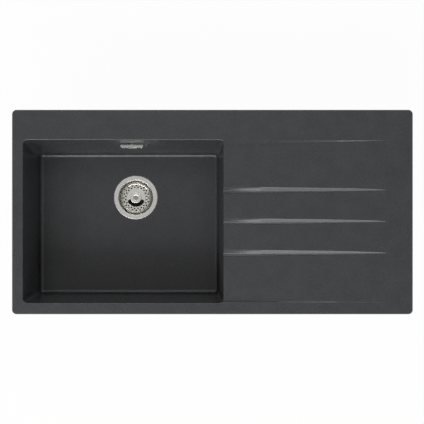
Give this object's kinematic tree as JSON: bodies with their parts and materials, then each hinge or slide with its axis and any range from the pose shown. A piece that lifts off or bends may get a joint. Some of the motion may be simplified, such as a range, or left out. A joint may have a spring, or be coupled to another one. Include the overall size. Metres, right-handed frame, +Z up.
{
  "type": "inset kitchen sink with drainboard",
  "caption": "Inset composite kitchen sink: rectangular bowl with lift-out strainer and overflow, sloped drainboard with tapering grooves, fixing clips below.",
  "frame": {"origin": "middle of the deck in plan, on the underside of the rim, which rests on the worktop", "axes": "+X to the right along the deck's length (drainboard side), +Y to the back (ledge side), +Z up"},
  "size_m": [1, 0.51, 0.305],
  "materials": {
    "granite_composite": "matt with a fine grain",
    "foam": "matt closed-cell foam",
    "rubber": "matt",
    "brass": "machined",
    "satin_steel": "satin",
    "polished_steel": "polished",
    "zinc_steel": "zinc plated",
    "dark_plastic": "moulded",
    "pale_plastic": "moulded",
    "nylon": "moulded"
  },
  "bodies": {
    "sink": {"sink_body": "granite_composite", "rim_seal": "foam", "clip_inserts": "brass", "waste_flange": "satin_steel", "body_seal": "rubber", "waste_body": "dark_plastic", "fixing_screw": "satin_steel", "overflow_cover": "satin_steel", "overflow_gasket": "rubber", "overflow_housing": "dark_plastic", "overflow_screw": "satin_steel", "overflow_duct": "pale_plastic", "duct_sleeves": "rubber"},
    "strainer": {"basket": "polished_steel", "basket_knob": "satin_steel", "basket_nut": "brass", "basket_stopper": "rubber"},
    "clip_1_bush": {"clip_bush_1": "nylon"},
    "clip_1_screw": {"clip_screw_1": "zinc_steel"},
    "clip_1_jaw": {"clip_jaw_1": "zinc_steel"},
    "clip_2_bush": {"clip_bush_2": "nylon"},
    "clip_2_screw": {"clip_screw_2": "zinc_steel"},
    "clip_2_jaw": {"clip_jaw_2": "zinc_steel"},
    "clip_3_bush": {"clip_bush_3": "nylon"},
    "clip_3_screw": {"clip_screw_3": "zinc_steel"},
    "clip_3_jaw": {"clip_jaw_3": "zinc_steel"},
    "clip_4_bush": {"clip_bush_4": "nylon"},
    "clip_4_screw": {"clip_screw_4": "zinc_steel"},
    "clip_4_jaw": {"clip_jaw_4": "zinc_steel"}
  },
  "joints": [
    {"name": "strainer_lift", "type": "slide", "parent": "sink", "child": "strainer", "axis": [0, 0, 1], "range_m": [0, 0.24]},
    {"name": "clip_1_rise", "type": "slide", "parent": "sink", "child": "clip_1_bush", "axis": [0, 0, 1], "range_m": [0, 0.014]},
    {"name": "clip_1_turn", "type": "hinge", "parent": "clip_1_bush", "child": "clip_1_screw", "pos_m": [-0.26, -0.239, -0.05], "axis": [0, 0, 1], "range_deg": [0, 6301]},
    {"name": "clip_1_swing", "type": "hinge", "parent": "clip_1_bush", "child": "clip_1_jaw", "pos_m": [-0.26, -0.239, -0.05], "axis": [0, 0, -1], "range_deg": [0, 90]},
    {"name": "clip_2_rise", "type": "slide", "parent": "sink", "child": "clip_2_bush", "axis": [0, 0, 1], "range_m": [0, 0.014]},
    {"name": "clip_2_turn", "type": "hinge", "parent": "clip_2_bush", "child": "clip_2_screw", "pos_m": [0.26, -0.239, -0.05], "axis": [0, 0, 1], "range_deg": [0, 6301]},
    {"name": "clip_2_swing", "type": "hinge", "parent": "clip_2_bush", "child": "clip_2_jaw", "pos_m": [0.26, -0.239, -0.05], "axis": [0, 0, -1], "range_deg": [0, 90]},
    {"name": "clip_3_rise", "type": "slide", "parent": "sink", "child": "clip_3_bush", "axis": [0, 0, 1], "range_m": [0, 0.014]},
    {"name": "clip_3_turn", "type": "hinge", "parent": "clip_3_bush", "child": "clip_3_screw", "pos_m": [-0.34, 0.239, -0.05], "axis": [0, 0, 1], "range_deg": [0, 6301]},
    {"name": "clip_3_swing", "type": "hinge", "parent": "clip_3_bush", "child": "clip_3_jaw", "pos_m": [-0.34, 0.239, -0.05], "axis": [0, 0, -1], "range_deg": [0, 90]},
    {"name": "clip_4_rise", "type": "slide", "parent": "sink", "child": "clip_4_bush", "axis": [0, 0, 1], "range_m": [0, 0.014]},
    {"name": "clip_4_turn", "type": "hinge", "parent": "clip_4_bush", "child": "clip_4_screw", "pos_m": [0.26, 0.239, -0.05], "axis": [0, 0, 1], "range_deg": [0, 6301]},
    {"name": "clip_4_swing", "type": "hinge", "parent": "clip_4_bush", "child": "clip_4_jaw", "pos_m": [0.26, 0.239, -0.05], "axis": [0, 0, -1], "range_deg": [0, 90]}
  ],
  "couplings": [
    {"joint": "clip_1_turn", "follows": "clip_1_rise", "rad_per_m": 7854},
    {"joint": "clip_2_turn", "follows": "clip_2_rise", "rad_per_m": 7854},
    {"joint": "clip_3_turn", "follows": "clip_3_rise", "rad_per_m": 7854},
    {"joint": "clip_4_turn", "follows": "clip_4_rise", "rad_per_m": 7854}
  ]
}
